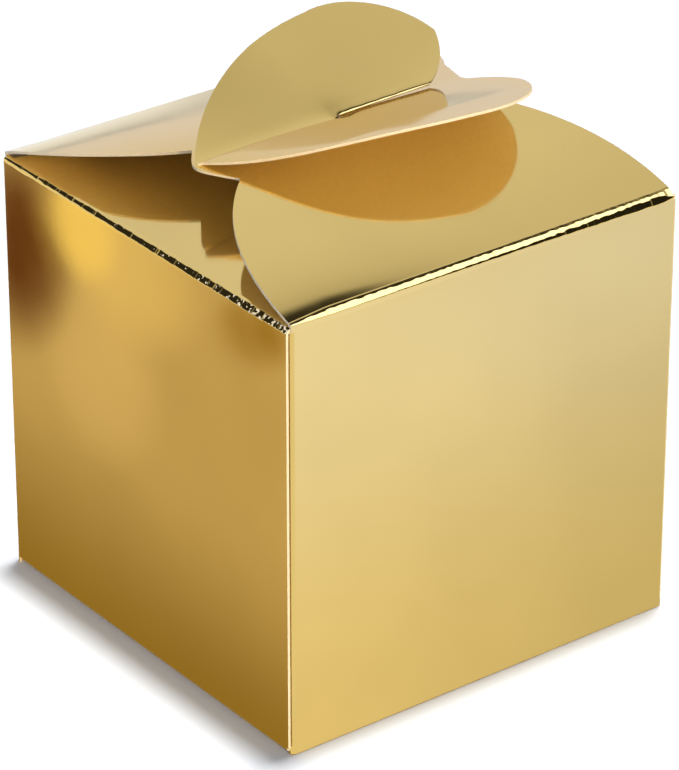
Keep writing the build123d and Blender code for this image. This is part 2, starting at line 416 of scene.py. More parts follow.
def lid_profile(sizes, half_slope, bow, count=600):
    """Length along a lid sheet, its slope there, and its reach and rise, added up along the slope.

    The slope is the flap's, plus a cosine that makes the flap swell between its fold and the heart's axis,
    and it eases into the half heart's slope at the axis.
    """
    axis_v = (half_width - bead_radius) / cos(sizes.lid_slope)
    v = np.linspace(0, lid_reach, count)
    share = smooth_step((v - axis_v + sizes.axis_bend) / (2 * sizes.axis_bend))
    flap = sizes.lid_slope + bow * np.cos(pi * np.minimum(v / axis_v, 1))
    slope = flap * (1 - share) + half_slope * share
    step = v[1] - v[0]
    middle = (slope[1:] + slope[:-1]) / 2
    reach = np.concatenate([[0], np.cumsum(np.cos(middle) * step)])
    rise = np.concatenate([[0], np.cumsum(np.sin(middle) * step)])
    return axis_v, v, slope, reach, rise


def lid_sheet(sizes, fold, shape):
    """Lid flap and half heart as two grids that share the heart's axis where the slit leaves them joined.

    The flap's rows run between its two sides. The half heart is ruled between its lower line, along the
    axis and up inside the lobe, and its upper line, along the flank and round the lobe. Past the slit's end
    both free edges stand off the axis, the half heart's upwards, with a lip that is pressed down, and the
    flap's downwards. Towards the heart's tip the sheet sags, and its half heart lies flatter. The crown
    arches the half heart between tip and notch, and the offset moves the sheet along the axis.
    """
    profile = lid_profile(sizes, shape.half_slope, shape.bow)
    axis_v, table_v, table_slope, table_reach, table_rise = profile
    slit_end = -shape.slit_sign * sizes.slit_room
    base = np.asarray(fold.point) + bead_radius * np.asarray(fold.flap_normal)
    meet = fold_frame(fold)[0]
    direction = flap_edge(fold, sizes.fold_flank)[1]

    def first_at(x):
        return (meet - base) @ direction + flap_margin(fold, x, sizes.fold_flank)

    def heart_share(x):
        return np.clip((x - heart_tip) / (heart_notch - heart_tip), 0, 1)

    def into_slit(x):
        return np.maximum(shape.slit_sign * (x - slit_end), 0)

    def opened(x):
        return np.minimum(into_slit(x) / heart_notch, 1)

    def gap(x):
        return sizes.slit_room * np.clip(into_slit(x) / (2 * sizes.slit_room), 0, 1)

    def place(x, v, stand):
        slope = np.interp(v, table_v, table_slope)
        to_axis = np.minimum(v / axis_v, 1)
        sag = sizes.tip_sag * np.clip(x / heart_tip, 0, 1) ** 2 * to_axis ** 3
        near_tip = smooth_step((curl_end - x) / (curl_end + lid_hinge_half))
        past_fold = np.maximum(v - first_at(x), 0)
        curl = sizes.fold_curl * near_tip * (1 - np.exp(-past_fold / sizes.fold_curl_reach))
        dimple = sizes.slit_dimple * np.exp(-np.hypot(x - slit_end, v - axis_v) / sizes.slit_dimple_reach)
        stand = stand + curl - dimple
        y = -np.interp(v, table_v, table_reach) + stand * np.sin(slope)
        z = np.interp(v, table_v, table_rise) + stand * np.cos(slope) - sag
        side = np.sign(fold.point[1])
        return np.stack([x + shape.offset * to_axis, base[1] + side * y, base[2] + z], axis=-1)

    to_slit_end = np.linspace(heart_tip, slit_end, joined_points)
    half_axis = np.concatenate([to_slit_end, np.linspace(slit_end, shape.inside_start, slit_points)[1:]])
    flap_axis = np.concatenate([to_slit_end, np.linspace(slit_end, heart_notch, slit_points)[1:]])
    hollow = arc_through(*shape.inside, inside_points) * box_width
    lower = np.concatenate([np.column_stack([half_axis, gap(half_axis)]), hollow])
    flank = arc_through(*heart_flank, flank_points) * box_width
    lobe = arc_through(*heart_lobe, lobe_points)[1:] * box_width
    upper = np.concatenate([flank, lobe])
    upper[0] = lower[0]
    steps = np.concatenate([[0], np.cumsum(np.linalg.norm(np.diff(lower, axis=0), axis=1))])
    upper = along(upper, steps / steps[-1])
    q = np.linspace(0, 1, heart_rows)[:, None] ** row_crowding
    half_x = lower[:, 0] + q * (upper[:, 0] - lower[:, 0])
    half_w = lower[:, 1] + q * (upper[:, 1] - lower[:, 1])
    lift = sizes.slit_lift * opened(half_x) * np.exp(-half_w / sizes.slit_curl)
    lip = sizes.slit_lip * smooth_step(into_slit(half_x) / lip_start)
    lip = lip * (1 + lip_waver * ragged(half_x, lip_pitch, lip_seed))
    from_edge = half_w - gap(half_x)
    droop = droop_share * np.exp(-from_edge / (droop_widths * sizes.slit_lip_width))
    pressed = lip * (np.exp(-from_edge / sizes.slit_lip_width) + droop)
    arch = shape.crown * np.minimum(half_w / crown_reach, 1) * np.sin(pi * heart_share(half_x))
    to_tip = np.clip((slit_end - half_x) / (slit_end - heart_tip), 0, 1)
    half_stand = lift - pressed + arch - sizes.tip_twist * half_w * to_tip ** 2

    tip_line = arc_through(*tip_side, side_points) * box_width
    lobe_line = arc_through(*lobe_side, side_points) * box_width
    first = first_at(-tip_line[0, 0])
    neck_v = tip_line[-1, 1]
    waist_v = lobe_line[-1, 1]
    to_neck = np.linspace(first, neck_v, flap_rows)
    rows = np.concatenate([to_neck, np.linspace(neck_v, axis_v, neck_rows)[1:]])
    past_neck = np.clip((rows - neck_v) / (axis_v - neck_v), 0, 1)
    blunt = (past_neck - past_neck ** blunt_power / blunt_power) * blunt_power / (blunt_power - 1)
    left = -np.interp(rows, tip_line[:, 1], tip_line[:, 0]) + (heart_tip + tip_line[-1, 0]) * blunt
    past_waist = np.clip((rows - waist_v) / (axis_v - waist_v), 0, 1)
    right = np.interp(rows, lobe_line[:, 1], lobe_line[:, 0]) + (heart_notch - lobe_line[-1, 0]) * past_waist
    flap_x = left[:, None] + heart_share(flap_axis) * (right - left)[:, None]
    row_share = ((rows - first) / (axis_v - first))[:, None]
    column_start = first_at(flap_x[0])
    flap_v = column_start + row_share * (axis_v - gap(flap_axis) - column_start)
    flap_stand = -sizes.slit_drop * opened(flap_x) * np.exp(-(axis_v - flap_v) / sizes.slit_curl)
    return [place(flap_x, flap_v, flap_stand), place(half_x, axis_v + half_w, half_stand)]


# Meshes

def grid_faces(rows, columns, first):
    """Corner numbers of a grid's four-sided faces, whose points are stored row by row."""
    number = first + np.arange(rows * columns).reshape(rows, columns)
    corners = [number[:-1, :-1], number[:-1, 1:], number[1:, 1:], number[1:, :-1]]
    return np.stack(corners, axis=-1).reshape(-1, 4)


def faces_away(patch, outward):
    """Whether a grid's faces look away from the outward direction."""
    a = patch[1:, :-1] - patch[:-1, :-1]
    b = patch[:-1, 1:] - patch[:-1, :-1]
    normal = np.cross(b, a).sum(axis=(0, 1))
    return normal @ np.asarray(outward) < 0


def board_piece(context, name, patches, outward, face="gold_foil", crease=None):
    """One piece of board from the grids of its foil face: welded where they meet, then thickened inwards.

    It has the finish of its face, of the board's inside and of its cut edge. A fold also keeps each point's
    share of its crease, for its finish.
    """
    sizes, colours = context.scene.favor_box_sizes, context.scene.favor_box_colours
    points, faces, count = [], [], 0
    for patch in patches:
        if faces_away(patch, outward):
            patch = patch[:, ::-1]
            crease = None if crease is None else crease[:, ::-1]
        points.append(patch.reshape(-1, 3))
        faces.append(grid_faces(*patch.shape[:2], count))
        count += patch.shape[0] * patch.shape[1]
    mesh = bpy.data.meshes.new(name)
    mesh.from_pydata(np.concatenate(points).tolist(), [], np.concatenate(faces).tolist())
    if crease is not None:
        mesh.attributes.new("crease", "FLOAT", "POINT").data.foreach_set("value", crease.ravel())
    edit = bmesh.new()
    edit.from_mesh(mesh)
    bmesh.ops.remove_doubles(edit, verts=edit.verts, dist=weld_distance)
    edit.to_mesh(mesh)
    edit.free()
    for finish in (face, "white_board", "cut_edge"):
        mesh.materials.append(finish_named(finish, colours))
    piece = bpy.data.objects.new(name, mesh)
    context.scene.collection.objects.link(piece)
    solid = piece.modifiers.new("Board", "SOLIDIFY")
    solid.thickness = sizes.board
    solid.offset = -1
    solid.material_offset = 1
    solid.material_offset_rim = 2
    depsgraph = context.evaluated_depsgraph_get()
    finished = bpy.data.meshes.new_from_object(piece.evaluated_get(depsgraph))
    piece.modifiers.clear()
    piece.data = finished
    bpy.data.meshes.remove(mesh)
    finished.name = name
    finished.shade_smooth()
    finished.set_sharp_from_angle(angle=sharp_angle)
    return piece


def level_sheet(name, low, high, height, material):
    """Level rectangle between two corners, for the stage."""
    (left, front), (right, rear) = low, high
    corners = [(left, front, height), (right, front, height), (right, rear, height), (left, rear, height)]
    mesh = bpy.data.meshes.new(name)
    mesh.from_pydata(corners, [], [(0, 1, 2, 3)])
    mesh.materials.append(material)
    sheet = bpy.data.objects.new(name, mesh)
    bpy.context.scene.collection.objects.link(sheet)
    return sheet


# Finishes

def link(tree, source, target):
    """Feeds an input socket from an output socket, or sets it to a plain value."""
    if isinstance(source, bpy.types.NodeSocket):
        tree.links.new(source, target)
    else:
        target.default_value = source


def new_material(name):
    """Node material, its tree and its surface shader."""
    material = bpy.data.materials.new(name)
    material.use_nodes = True
    tree = material.node_tree
    return material, tree, tree.nodes["Principled BSDF"]


def maths(tree, operation, *values):
    """Result of a maths node, whose values are sockets or numbers."""
    node = tree.nodes.new("ShaderNodeMath")
    node.operation = operation
    for value, socket in zip(values, node.inputs):
        link(tree, value, socket)
    return node.outputs["Value"]


def dot(tree, vector, direction):
    """Dot product of a vector socket and a direction."""
    node = tree.nodes.new("ShaderNodeVectorMath")
    node.operation = "DOT_PRODUCT"
    link(tree, vector, node.inputs[0])
    link(tree, direction, node.inputs[1])
    return node.outputs["Value"]


def noise(tree, scale, detail=2.0):
    """Noise over the piece's own coordinates, with its scale per metre."""
    place = tree.nodes.new("ShaderNodeTexCoord")
    texture = tree.nodes.new("ShaderNodeTexNoise")
    link(tree, scale, texture.inputs["Scale"])
    link(tree, detail, texture.inputs["Detail"])
    link(tree, place.outputs["Object"], texture.inputs["Vector"])
    return texture.outputs["Fac"]


def ranged(tree, value, low, high):
    """Maps noise, which lies mostly between 0.3 and 0.7, onto a range."""
    node = tree.nodes.new("ShaderNodeMapRange")
    sources = {"Value": value, "From Min": 0.3, "From Max": 0.7, "To Min": low, "To Max": high}
    for name, source in sources.items():
        link(tree, source, node.inputs[name])
    return node.outputs["Result"]


def faded(tree, value, low, high):
    """Smooth step from 0 at low to 1 at high."""
    node = tree.nodes.new("ShaderNodeMapRange")
    node.interpolation_type = "SMOOTHSTEP"
    for name, source in {"Value": value, "From Min": low, "From Max": high}.items():
        link(tree, source, node.inputs[name])
    return node.outputs["Result"]


def mixed(tree, factor, first, second):
    """Blend of two colours, each a socket or three numbers, by a factor socket."""
    node = tree.nodes.new("ShaderNodeMix")
    node.data_type = "RGBA"
    link(tree, factor, node.inputs["Factor"])
    for colour, socket in ((first, node.inputs["A"]), (second, node.inputs["B"])):
        plain = not isinstance(colour, bpy.types.NodeSocket)
        link(tree, (*colour, 1.0) if plain else colour, socket)
    return node.outputs["Result"]


def place_along(tree, direction, offset):
    """Position along a direction, in metres, plus an offset."""
    place = tree.nodes.new("ShaderNodeTexCoord")
    return maths(tree, "ADD", dot(tree, place.outputs["Object"], direction), offset)


def spot(tree, across, upwards, centre, radii):
    """Soft oval spot: 1 at its centre, 0 beyond its radii."""
    squares = []
    for value, middle, radius in zip((across, upwards), centre, radii):
        scaled = maths(tree, "DIVIDE", maths(tree, "SUBTRACT", value, middle), radius)
        squares.append(maths(tree, "POWER", scaled, 2))
    return faded(tree, maths(tree, "ADD", *squares), 1.0, 0.0)


def uneven_colour(tree, shader, colour, share, scale, detail=2.0):
    """Base colour that drifts, over a noise, between a share of the colour and the colour itself."""
    dim = [channel * share for channel in colour]
    drift = ranged(tree, noise(tree, scale, detail), 0, 1)
    link(tree, mixed(tree, drift, dim, colour), shader.inputs["Base Color"])


def uneven_gloss(tree, shader, scale, low, high):
    """Roughness that drifts between two values over a noise."""
    link(tree, ranged(tree, noise(tree, scale), low, high), shader.inputs["Roughness"])


def relief(tree, shader, depth, scale, detail=2.0):
    """Fine relief of a surface over a noise, depth in metres."""
    node = tree.nodes.new("ShaderNodeBump")
    link(tree, depth, node.inputs["Distance"])
    link(tree, noise(tree, scale, detail), node.inputs["Height"])
    link(tree, node.outputs["Normal"], shader.inputs["Normal"])


def foil_gloss(tree, shader):
    """Slightly uneven gloss of the foil, and a soft ripple of the board under it."""
    uneven_gloss(tree, shader, scale=90, low=0.06, high=0.10)
    relief(tree, shader, depth=1.0e-6, scale=900)


def gold_foil(colours):
    """Mirror gold foil with a faint drift of tone."""
    material, tree, shader = new_material("gold_foil")
    uneven_colour(tree, shader, colours.foil, share=0.94, scale=40)
    link(tree, 1.0, shader.inputs["Metallic"])
    foil_gloss(tree, shader)
    return material


def flaked_foil(colours):
    """Foil along a score: as the rest, but in the crease some of it has flaked off the pale board.

    The flakes are the peaks of a noise, at the left of the box and fewer towards its rear.
    """
    material, tree, shader = new_material("flaked_foil")
    crease = tree.nodes.new("ShaderNodeAttribute")
    crease.attribute_name = "crease"
    fewer = faded(tree, place_along(tree, (0, 1, 0), 0.0), flakes_rear, flakes_front)
    height = maths(tree, "MULTIPLY_ADD", fewer, flake_gain, noise(tree, scale=1700, detail=3))
    at_left = faded(tree, place_along(tree, (1, 0, 0), half_width), *flake_reach)
    in_crease = maths(tree, "MULTIPLY", at_left, crease.outputs["Fac"])
    flaked = maths(tree, "MULTIPLY", faded(tree, height, *flake_peaks), in_crease)
    link(tree, mixed(tree, flaked, colours.foil, colours.edge), shader.inputs["Base Color"])
    link(tree, maths(tree, "SUBTRACT", 1.0, flaked), shader.inputs["Metallic"])
    foil_gloss(tree, shader)
    return material


def plain_board(colours):
    """Uncoated ivory inside of the board, with faint fibres."""
    material, tree, shader = new_material("white_board")
    uneven_colour(tree, shader, colours.board, share=0.93, scale=1400, detail=6)
    uneven_gloss(tree, shader, scale=300, low=0.62, high=0.78)
    relief(tree, shader, depth=1.2e-5, scale=2500, detail=4)
    return material


def cut_edge(colours):
    """Die-cut edge of the board: pale, slightly fluffy pulp."""
    material, tree, shader = new_material("cut_edge")
    uneven_colour(tree, shader, colours.edge, share=0.86, scale=3000, detail=5)
    uneven_gloss(tree, shader, scale=900, low=0.55, high=0.75)
    relief(tree, shader, depth=2e-5, scale=6000, detail=4)
    return material


def dried_glue(colours):
    """Clear adhesive dried to a pale film."""
    material, tree, shader = new_material("dried_glue")
    uneven_colour(tree, shader, colours.glue, share=0.9, scale=600, detail=3)
    uneven_gloss(tree, shader, scale=400, low=0.35, high=0.5)
    relief(tree, shader, depth=2e-5, scale=900)
    return material


def within(tree, paint, across, span, upwards):
    """Paint of a card that fades to white outside of its span across the wall, and above its top."""
    paint = mixed(tree, faded(tree, across, span[0], span[0] - paint_fade), paint, white)
    paint = mixed(tree, faded(tree, across, span[1], span[1] + paint_fade), paint, white)
    return mixed(tree, faded(tree, upwards, paint_top, paint_top + paint_fade), paint, white)


def front_painted_reflection(tree):
    """Painted reflection that the front wall mirrors, with painted shade at its foot, by the place on the
    wall, to the right and up.
    """
    lean = sight_x / sight_y
    right = place_along(tree, (1, lean, 0), half_width * lean)
    up = place_along(tree, (0, -1 / sight_y, 0), -half_width / sight_y)
    across = faded(tree, right, -half_width, front_blend_right)
    rise = faded(tree, up, 0, front_blend_top)
    # Painted reflection: painted shade of the floor at the right of the foot, brighter at the top
    paint = mixed(tree, rise, mixed(tree, across, *front_foot), mixed(tree, across, *front_top))
    return within(tree, paint, right, front_span, up)


def left_painted_reflection(tree):
    """Painted reflection that the left wall mirrors, with a painted shadow at its foot and spots of painted
    shade and painted highlight, by the place on the wall, to the rear and up.
    """
    lean = sight_y / sight_x
    back = place_along(tree, (lean, 1, 0), half_width * lean)
    up = place_along(tree, (-1 / sight_x, 0, 0), -half_width / sight_x)
    # Painted shadow of the floor at the foot, blending into the rest
    paint = mixed(tree, faded(tree, up, *left_blend), left_foot_shadow, left_rest)
    # Spots of painted shade and painted highlight
    for centre, radii, colour in left_shade_and_highlight_spots:
        paint = mixed(tree, spot(tree, back, up, centre, radii), paint, colour)
    return within(tree, paint, back, left_span, up)


def finish_named(name, colours):
    """A material by name, made the first time that it is asked for."""
    makers = {
        "gold_foil": gold_foil,
        "flaked_foil": flaked_foil,
        "white_board": plain_board,
        "cut_edge": cut_edge,
        "dried_glue": dried_glue,
    }
    return bpy.data.materials.get(name) or makers[name](colours)


# Sizes and colours that a user would change

def metres(name, description, default, precision=5):
    """A length that a user can change."""
    return bpy.props.FloatProperty(
        name=name, description=description, default=default, unit="LENGTH", precision=precision)


def degrees(name, description, default):
    """An angle that a user can change."""
    return bpy.props.FloatProperty(
        name=name, description=description, default=radians(default), subtype="ANGLE")


def tint(name, description, default):
    """A colour that a user can change."""
    return bpy.props.FloatVectorProperty(
        name=name, description=description, default=default, subtype="COLOR", min=0, max=1)


class FavorBoxSizes(bpy.types.PropertyGroup):
    """Sizes of the board, its folds and the lid."""

    board: metres("Board", "Thickness of the foil board", bottom_high.z - bottom_low.z)
    dark_facet: metres("Lower facet", "Greatest width of the lower facet of the folds of the top", 0.0010)
    bright_facet: metres("Upper facet", "Width of the upper facet of the folds of the top", 0.0008)
    score_line: metres("Score line", "Width of the score line between a fold and its flap", 0.00045)
    low_fold_width: metres("Bottom fold width", "Width of the facets of the folds of the bottom", 0.0007)
    fold_flank: metres("Fold flank", "Flat strip on each side of a fold, where its score line lies", 0.0002)
    crackle: metres("Crackle", "Height of the crackle along a fold", 0.000003, 7)
    waver: bpy.props.FloatProperty(
        name="Waver", default=0.3, subtype="FACTOR",
        description="How far the bounds between a fold's facets wander, as a share of their width")
    wall_bow: metres("Wall bow", "How far the middle of a wall swells", 0.0002)
    lid_slope: degrees("Lid slope", "Rise of the lid flaps above level", 14)
    front_half_slope: degrees("Front half slope", "Rise of the front half heart", 20)
    rear_half_slope: degrees("Rear half slope", "Rise of the rear half heart", 14)
    front_lid_bow: degrees("Front lid bow", "Extra slope of the front lid flap at its fold", 3)
    rear_lid_bow: degrees("Rear lid bow", "Extra slope of the rear lid flap at its fold", 1.5)
    axis_bend: metres(
        "Bend at the axis", "Half length of the bend from a lid flap into its half heart", 0.003)
    fold_curl: metres(
        "Fold curl", "How far a lid flap curls up beside its fold, at the end of the heart's tip", 0.0004)
    fold_curl_reach: metres("Fold curl reach", "Width of the curl beside a lid fold", 0.003)
    tip_sag: metres("Tip sag", "How far the lid sheets sag at the heart's tip", 0.0011)
    tip_twist: degrees("Tip twist", "How much flatter the half hearts lie at the heart's tip", 6)
    rear_offset: metres(
        "Rear offset", "How far the rear sheet sits towards the lobes at the heart's axis", 0.0006)
    rear_crown: metres(
        "Rear crown", "How far the rear half heart arches up midway between tip and lobe", 0.0005)
    slit_room: metres("Slit room", "From the heart's axis to a free edge of a slit", 0.00045)
    slit_lift: metres("Slit lift", "How far a half heart's free edge lifts at the end of its slit", 0.0006)
    slit_drop: metres("Slit drop", "How far a lid flap's free edge drops at the end of its slit", 0.0004)
    slit_curl: metres("Slit curl", "Width of the curl beside a slit", 0.006)
    slit_lip: metres("Slit lip", "How far the pressed lip of a slit turns down", 0.00008, 6)
    slit_lip_width: metres("Slit lip width", "Width of the pressed lip of a slit", 0.0002)
    slit_dimple: metres("Slit dimple", "Depth of the dimple at the inner end of a slit", 0.0002)
    slit_dimple_reach: metres(
        "Slit dimple reach", "How far the dimple at the inner end of a slit spreads", 0.0020)
    dust_slope: degrees("Dust flap slope", "Rise of the dust flaps under the lid", 6.6)
    tuck_lean: degrees("Tuck lean", "Lean of the tuck flap away from the front wall", 7)
    glue_taper: degrees("Glue flap taper", "Slant of the glue flap's ends", 18)
    dust_depth: metres("Dust flap depth", "Depth of the dust flaps of the top", 0.029)
    dust_inset: metres(
        "Dust flap inset", "From the corner of the box to the end of a dust flap's fold", 0.0012)
    dust_taper: degrees("Dust flap taper", "Slant of a dust flap's sides", 35)
    dust_rounding: metres("Dust flap rounding", "Radius of a dust flap's end corners", 0.004)
    low_dust_depth: metres("Bottom dust flap depth", "Depth of the dust flaps of the bottom", 0.028)
    low_dust_front_inset: metres(
        "Bottom dust flap front inset", "Inset at the front, where the tuck flap goes in", 0.0026)
    low_dust_front_taper: degrees("Bottom dust flap front taper", "Slant of the front side", 27)
    low_dust_rear_inset: metres("Bottom dust flap rear inset", "Inset at the rear", 0.0016)
    low_dust_rear_taper: degrees("Bottom dust flap rear taper", "Slant of the rear side", 12)
    bottom_relief: metres(
        "Bottom relief", "How far the bottom's sides draw in beside its rear fold", 0.0009)
    tuck_height: metres("Tuck height", "Height of the tuck flap", 0.014)
    tuck_inset: metres("Tuck inset", "From the side of the box to the end of the tuck fold", 0.0016)
    tuck_taper: degrees("Tuck taper", "Slant of the tuck flap's sides", 16)
    tuck_rounding: metres("Tuck rounding", "Radius of the tuck flap's end corners", 0.005)


class FavorBoxColours(bpy.types.PropertyGroup):
    """Colours of the foil, the board and the studio."""

    foil: tint("Foil", "Colour that the foil reflects face on", (0.77, 0.555, 0.175))
    board: tint("Board", "Inside of the board", (0.90, 0.79, 0.61))
    edge: tint("Cut edge", "Cut edge of the board", (0.90, 0.75, 0.50))
    glue: tint("Glue", "Dried glue in the seam", (0.80, 0.74, 0.58))
    floor: tint("Floor", "Floor of the studio", (0.86, 0.88, 0.91))


# Folds of the box

def box_folds(sizes):
    """Every scored fold that a flap turns on, by name, at the hinges of the frame.

    Each facet has its angle from the wall, and its widths at the stations along the fold.
    """
    dark, bright, line = sizes.dark_facet, sizes.bright_facet, sizes.score_line
    folds = {}

    def spread(width, *shares):
        return [width * share for share in shares]

    def fold(name, axis, reach, wall_normal, flap_normal, angles, widths):
        point = hinges[name.replace("_fold", "_hinge")]
        facets = [Facet(radians(angle), width) for angle, width in zip(angles, widths)]
        folds[name] = Fold(point, axis, reach, wall_normal, flap_normal, facets)

    def lid_fold(name, side, bow):
        steep = sizes.lid_slope + bow
        normal = (0, side * sin(steep), cos(steep))
        reach = (-lid_hinge_half, lid_hinge_half)
        widths = (spread(dark, 0.0, 0.0, 0.35, 1.1, 0.1), spread(bright, 0.2, 1.0, 0.9, 0.55, 1.8), score)
        fold(name, (1, 0, 0), reach, (0, side, 0), normal, lid_facet_angles, widths)

    def dust_fold(name, side, start, *widths):
        normal = (side * sin(sizes.dust_slope), 0, cos(sizes.dust_slope))
        fold(name, (0, 1, 0), (start, wall_end), (side, 0, 0), normal, dust_facet_angles, (*widths, score))

    def low_fold(name, axis, wall_normal, flap_normal):
        low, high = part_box(name)
        reach = (Vector(axis).dot(low), Vector(axis).dot(high))
        width = [sizes.low_fold_width / 2] * len(fold_stations)
        fold(name, axis, reach, wall_normal, flap_normal, plain_facet_angles, (width, width))

    wall_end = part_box("rear_wall")[1].x
    seam_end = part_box("left_wall")[0].y
    score = spread(line, 0.8, 1.0, 1.0, 1.0, 1.0)
    down = (0, 0, -1)
    lid_fold("front_lid_fold", -1, sizes.front_lid_bow)
    lid_fold("rear_lid_fold", 1, sizes.rear_lid_bow)
    dust_fold("left_dust_fold", -1, seam_end,
              spread(dark, 0.0, 0.0, 0.1, 0.5, 0.5), spread(bright, 1.3, 1.4, 0.9, 0.4, 0.3))
    dust_fold("right_dust_fold", 1, -wall_end,
              spread(dark, 0.2, 0.0, 0.0, 0.0, 0.2), spread(bright, 0.4, 0.8, 0.8, 0.6, 0.4))
    low_fold("bottom_left_dust_fold", (0, 1, 0), (-1, 0, 0), down)
    low_fold("bottom_right_dust_fold", (0, 1, 0), (1, 0, 0), down)
    low_fold("bottom_fold", (1, 0, 0), (0, 1, 0), down)
    low_fold("tuck_fold", (1, 0, 0), down, (0, -cos(sizes.tuck_lean), sin(sizes.tuck_lean)))
    return folds


def corner_folds(sizes):
    """The four upright folds, by name, from the quarter tubes of the frame.

    Each runs from the front or rear wall round to a side wall, or to the glue flap at the seam.
    """
    top = wall_edge(box_folds(sizes)["front_lid_fold"], sizes.fold_flank)[2]
    folds = {}
    for name, side_x, side_y in (
        ("seam_fold", -1, -1),
        ("front_right_fold", 1, -1),
        ("rear_right_fold", 1, 1),
        ("rear_left_fold", -1, 1),
    ):
        low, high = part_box(name)
        outer_x = high.x if side_x > 0 else low.x
        outer_y = high.y if side_y > 0 else low.y
        point = (outer_x - side_x * bead_radius, outer_y - side_y * bead_radius, 0)
        width = [(high.x - low.x) * pi / 4] * len(fold_stations)
        facets = [Facet(radians(angle), width) for angle in plain_facet_angles]
        folds[name] = Fold(point, (0, 0, 1), (0.0, top), (0, side_y, 0), (side_x, 0, 0), facets)
    return folds


def dress(piece, slot, *nodes):
    """Hides the nodes of the frame that a piece stands for; the slot of its finish is not used."""
    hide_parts(*nodes)
    return piece


# Operators

class FAVORBOX_OT_walls(bpy.types.Operator):
    """Make the four walls of the box"""

    bl_idname = "favor_box.walls"
    bl_label = "Walls"

    def execute(self, context):
        sizes = context.scene.favor_box_sizes
        folds = box_folds(sizes)
        corners = corner_folds(sizes)
        flank = sizes.fold_flank

        def face_end(name):
            return wall_edge(corners[name], flank)[0]

        def side_end(name):
            return flap_edge(corners[name], flank)[0][1]

        def height_of(name):
            return wall_edge(folds[name], flank)[2]

        along_x, along_y = (1, 0, 0), (0, 1, 0)
        seam_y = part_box("left_wall")[0].y
        walls = (
            ("front_wall", face_end("seam_fold"), face_end("front_right_fold"), along_x, (0, -1, 0),
             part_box("front_wall")[0].z, height_of("front_lid_fold")),
            ("rear_wall", face_end("rear_left_fold"), face_end("rear_right_fold"), along_x, (0, 1, 0),
             height_of("bottom_fold"), height_of("rear_lid_fold")),
            ("left_wall", seam_y, side_end("rear_left_fold"), along_y, (-1, 0, 0),
             height_of("bottom_left_dust_fold"), height_of("left_dust_fold")),
            ("right_wall", side_end("front_right_fold"), side_end("rear_right_fold"), along_y, (1, 0, 0),
             height_of("bottom_right_dust_fold"), height_of("right_dust_fold")),
        )
        for name, start, end, axis, outward, low, high in walls:
            corner = start * np.array(axis) + half_width * np.array(outward) + low * np.array((0, 0, 1))
            across = (end - start) * np.array(axis)
            upwards = (high - low) * np.array((0, 0, 1))
            patch = wall_surface(corner, across, upwards, sizes.wall_bow, outward)
            piece = board_piece(context, f"{name}_panel", [patch], outward)
            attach(dress(piece, "gold_foil_board", name), "box")
        return {"FINISHED"}


class FAVORBOX_OT_corners(bpy.types.Operator):
    """Make the four upright folds, the glue flap and the finish of its glue"""

    bl_idname = "favor_box.corners"
    bl_label = "Upright folds and seam"

    def execute(self, context):
        sizes, colours = context.scene.favor_box_sizes, context.scene.favor_box_colours
        corners = corner_folds(sizes)
        for seed, (name, fold) in enumerate(corners.items()):
            patch, _ = fold_surface(fold, sizes.fold_flank, 0.0, 0.0, seed, rows=60, columns=40)
            outward = np.add(fold.wall_normal, fold.flap_normal)
            piece = board_piece(context, f"{name}_strip", [patch], outward)
            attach(dress(piece, "scored_fold", name), "box")
        self.make_glue_flap(context, corners["seam_fold"])
        frame["nodes"]["seam_glue"].data.materials.clear()
        frame["nodes"]["seam_glue"].data.materials.append(finish_named("dried_glue", colours))
        return {"FINISHED"}

    def make_glue_flap(self, context, seam):
        """The glue flap: an upright strip inside the left wall that narrows away from the seam."""
        sizes = context.scene.favor_box_sizes
        low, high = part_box("glue_flap")
        start, _ = flap_edge(seam, sizes.fold_flank)
        taper = (high.y - low.y) * tan(sizes.glue_taper)
        s, t = np.meshgrid(np.linspace(0, 1, 12), np.linspace(0, 1, 40))
        y = start[1] + s * (high.y - start[1])
        bottom = low.z + s * taper
        z = bottom + t * (high.z - s * taper - bottom)
        patch = np.stack([np.full_like(y, low.x), y, z], axis=-1)
        piece = board_piece(context, "glue_flap_panel", [patch], (-1, 0, 0))
        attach(dress(piece, "gold_foil_board", "glue_flap"), "box")


class FAVORBOX_OT_lid(bpy.types.Operator):
    """Make the two lid sheets, each a flap and its half heart"""

    bl_idname = "favor_box.lid"
    bl_label = "Lid flaps and heart"

    def execute(self, context):
        sizes = context.scene.favor_box_sizes
        folds = box_folds(sizes)
        front = LidShape(
            sizes.front_half_slope, sizes.front_lid_bow, offset=0.0, crown=0.0, slit_sign=1,
            inside_start=flare_start, inside=flare_inside)
        rear = LidShape(
            sizes.rear_half_slope, sizes.rear_lid_bow, sizes.rear_offset, sizes.rear_crown, slit_sign=-1,
            inside_start=heart_notch, inside=notch_inside)
        for side, shape in (("front", front), ("rear", rear)):
            patches = lid_sheet(sizes, folds[f"{side}_lid_fold"], shape)
            piece = board_piece(context, f"{side}_lid_sheet", patches, (0, 0, 1))
            dress(piece, "gold_foil_board", f"{side}_lid_flap", f"{side}_heart_half")
            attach(piece, f"{side}_lid")
        return {"FINISHED"}


